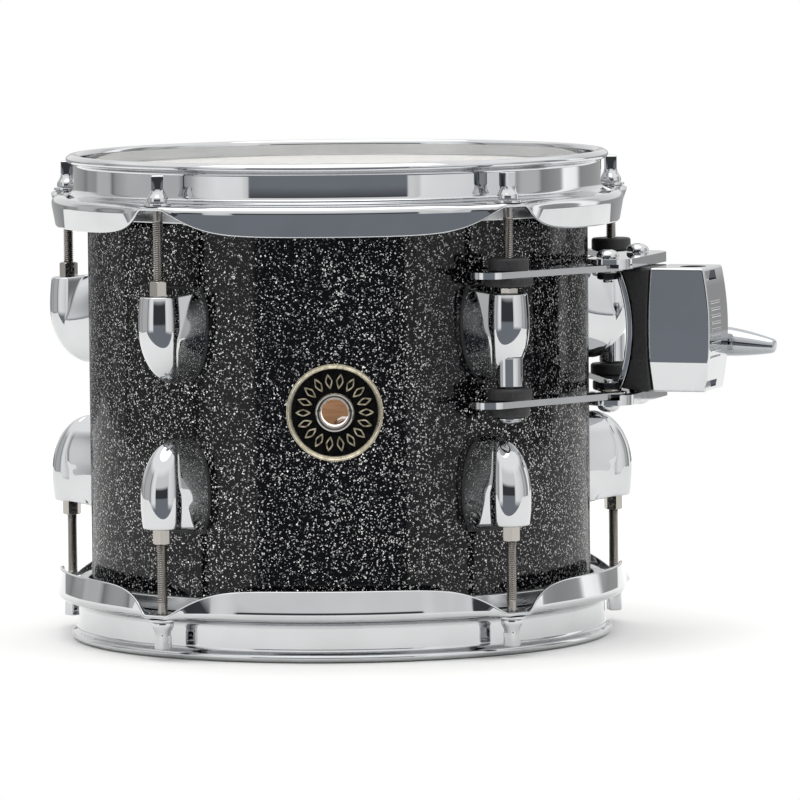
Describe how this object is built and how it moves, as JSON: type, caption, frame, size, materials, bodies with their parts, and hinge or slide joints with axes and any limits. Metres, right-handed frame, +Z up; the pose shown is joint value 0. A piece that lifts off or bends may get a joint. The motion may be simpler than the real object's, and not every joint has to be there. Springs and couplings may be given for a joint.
{
  "type": "tom tom drum",
  "caption": "Small double-headed tom drum with a sparkle-wrapped wooden shell, chromed scalloped hoops, tube-style lugs and a suspension mount with an upright clamp socket.",
  "frame": {"origin": "centre of the batter head's playing surface, on the drum's axis", "axes": "+Z up along the drum's axis out of the batter head, -Y towards the badge, +X towards the side mount"},
  "size_m": [0.3677, 0.2995, 0.2439],
  "materials": {
    "chrome": "bright chrome plating, mirror smooth",
    "nickel": "bright nickel plating, slightly warm",
    "thread_steel": "oiled nickel-plated steel with a rolled thread",
    "sparkle_wrap": "glossy black plastic sheet full of fine silver flakes",
    "maple": "satin lacquered maple plies",
    "coated_film": "off-white coated polyester film, matt",
    "aluminium": "satin rolled aluminium",
    "brass_badge": "antique brass with a black field",
    "rubber": "matt black rubber"
  },
  "bodies": {
    "root": {"shell": "maple", "wrap": "sparkle_wrap", "badge": "brass_badge", "vent_grommet": "nickel", "batter_head_film": "coated_film", "batter_flesh_hoop": "aluminium", "batter_hoop": "chrome", "resonant_head_film": "coated_film", "resonant_flesh_hoop": "aluminium", "resonant_hoop": "chrome", "lug_batter_252": "chrome", "swivel_nut_batter_252": "nickel", "lug_resonant_252": "chrome", "swivel_nut_resonant_252": "nickel", "lug_batter_324": "chrome", "swivel_nut_batter_324": "nickel", "lug_resonant_324": "chrome", "swivel_nut_resonant_324": "nickel", "lug_batter_036": "chrome", "swivel_nut_batter_036": "nickel", "lug_resonant_036": "chrome", "swivel_nut_resonant_036": "nickel", "lug_batter_108": "chrome", "swivel_nut_batter_108": "nickel", "lug_resonant_108": "chrome", "swivel_nut_resonant_108": "nickel", "lug_batter_180": "chrome", "swivel_nut_batter_180": "nickel", "lug_resonant_180": "chrome", "swivel_nut_resonant_180": "nickel", "mount_bracket": "chrome", "mount_block": "chrome", "mount_pad": "rubber", "suspension_stud_front": "chrome", "arm_upper_front": "chrome", "arm_bolt_upper_front": "chrome", "grommet_upper_front": "rubber", "arm_lower_front": "chrome", "arm_bolt_lower_front": "chrome", "grommet_lower_front": "rubber", "suspension_stud_rear": "chrome", "arm_upper_rear": "chrome", "arm_bolt_upper_rear": "chrome", "grommet_upper_rear": "rubber", "arm_lower_rear": "chrome", "arm_bolt_lower_rear": "chrome", "grommet_lower_rear": "rubber"},
    "tension_rod_batter_252": {"tension_rod_batter_252": "thread_steel"},
    "tension_rod_resonant_252": {"tension_rod_resonant_252": "thread_steel"},
    "tension_rod_batter_324": {"tension_rod_batter_324": "thread_steel"},
    "tension_rod_resonant_324": {"tension_rod_resonant_324": "thread_steel"},
    "tension_rod_batter_036": {"tension_rod_batter_036": "thread_steel"},
    "tension_rod_resonant_036": {"tension_rod_resonant_036": "thread_steel"},
    "tension_rod_batter_108": {"tension_rod_batter_108": "thread_steel"},
    "tension_rod_resonant_108": {"tension_rod_resonant_108": "thread_steel"},
    "tension_rod_batter_180": {"tension_rod_batter_180": "thread_steel"},
    "tension_rod_resonant_180": {"tension_rod_resonant_180": "thread_steel"},
    "clamp_handle": {"clamp_handle": "chrome"},
    "clamp_eyebolt": {"clamp_eyebolt": "nickel"}
  },
  "joints": [
    {"name": "rod_turn_batter_252", "type": "hinge", "parent": "root", "child": "tension_rod_batter_252", "pos_m": [-0.13847, 0.04499, -0.1143], "axis": [0, 0, 1], "range_deg": [-360, 360]},
    {"name": "rod_turn_resonant_252", "type": "hinge", "parent": "root", "child": "tension_rod_resonant_252", "pos_m": [-0.13847, 0.04499, -0.1143], "axis": [0, 0, 1], "range_deg": [-360, 360]},
    {"name": "rod_turn_batter_324", "type": "hinge", "parent": "root", "child": "tension_rod_batter_324", "pos_m": [-0.08558, -0.11779, -0.1143], "axis": [0, 0, 1], "range_deg": [-360, 360]},
    {"name": "rod_turn_resonant_324", "type": "hinge", "parent": "root", "child": "tension_rod_resonant_324", "pos_m": [-0.08558, -0.11779, -0.1143], "axis": [0, 0, 1], "range_deg": [-360, 360]},
    {"name": "rod_turn_batter_036", "type": "hinge", "parent": "root", "child": "tension_rod_batter_036", "pos_m": [0.08558, -0.11779, -0.1143], "axis": [0, 0, 1], "range_deg": [-360, 360]},
    {"name": "rod_turn_resonant_036", "type": "hinge", "parent": "root", "child": "tension_rod_resonant_036", "pos_m": [0.08558, -0.11779, -0.1143], "axis": [0, 0, 1], "range_deg": [-360, 360]},
    {"name": "rod_turn_batter_108", "type": "hinge", "parent": "root", "child": "tension_rod_batter_108", "pos_m": [0.13847, 0.04499, -0.1143], "axis": [0, 0, 1], "range_deg": [-360, 360]},
    {"name": "rod_turn_resonant_108", "type": "hinge", "parent": "root", "child": "tension_rod_resonant_108", "pos_m": [0.13847, 0.04499, -0.1143], "axis": [0, 0, 1], "range_deg": [-360, 360]},
    {"name": "rod_turn_batter_180", "type": "hinge", "parent": "root", "child": "tension_rod_batter_180", "pos_m": [0, 0.1456, -0.1143], "axis": [0, 0, 1], "range_deg": [-360, 360]},
    {"name": "rod_turn_resonant_180", "type": "hinge", "parent": "root", "child": "tension_rod_resonant_180", "pos_m": [0, 0.1456, -0.1143], "axis": [0, 0, 1], "range_deg": [-360, 360]},
    {"name": "handle_turn", "type": "hinge", "parent": "root", "child": "clamp_handle", "pos_m": [0.18664, -0.0291, -0.08725], "axis": [0.309, 0.9511, 0], "range_deg": [0, 450]},
    {"name": "eyebolt_slide", "type": "slide", "parent": "root", "child": "clamp_eyebolt", "axis": [-0.309, -0.9511, 0], "range_m": [0, 0.0016]}
  ],
  "couplings": [
    {"joint": "eyebolt_slide", "follows": "handle_turn", "m_per_rad": 0.000199}
  ]
}
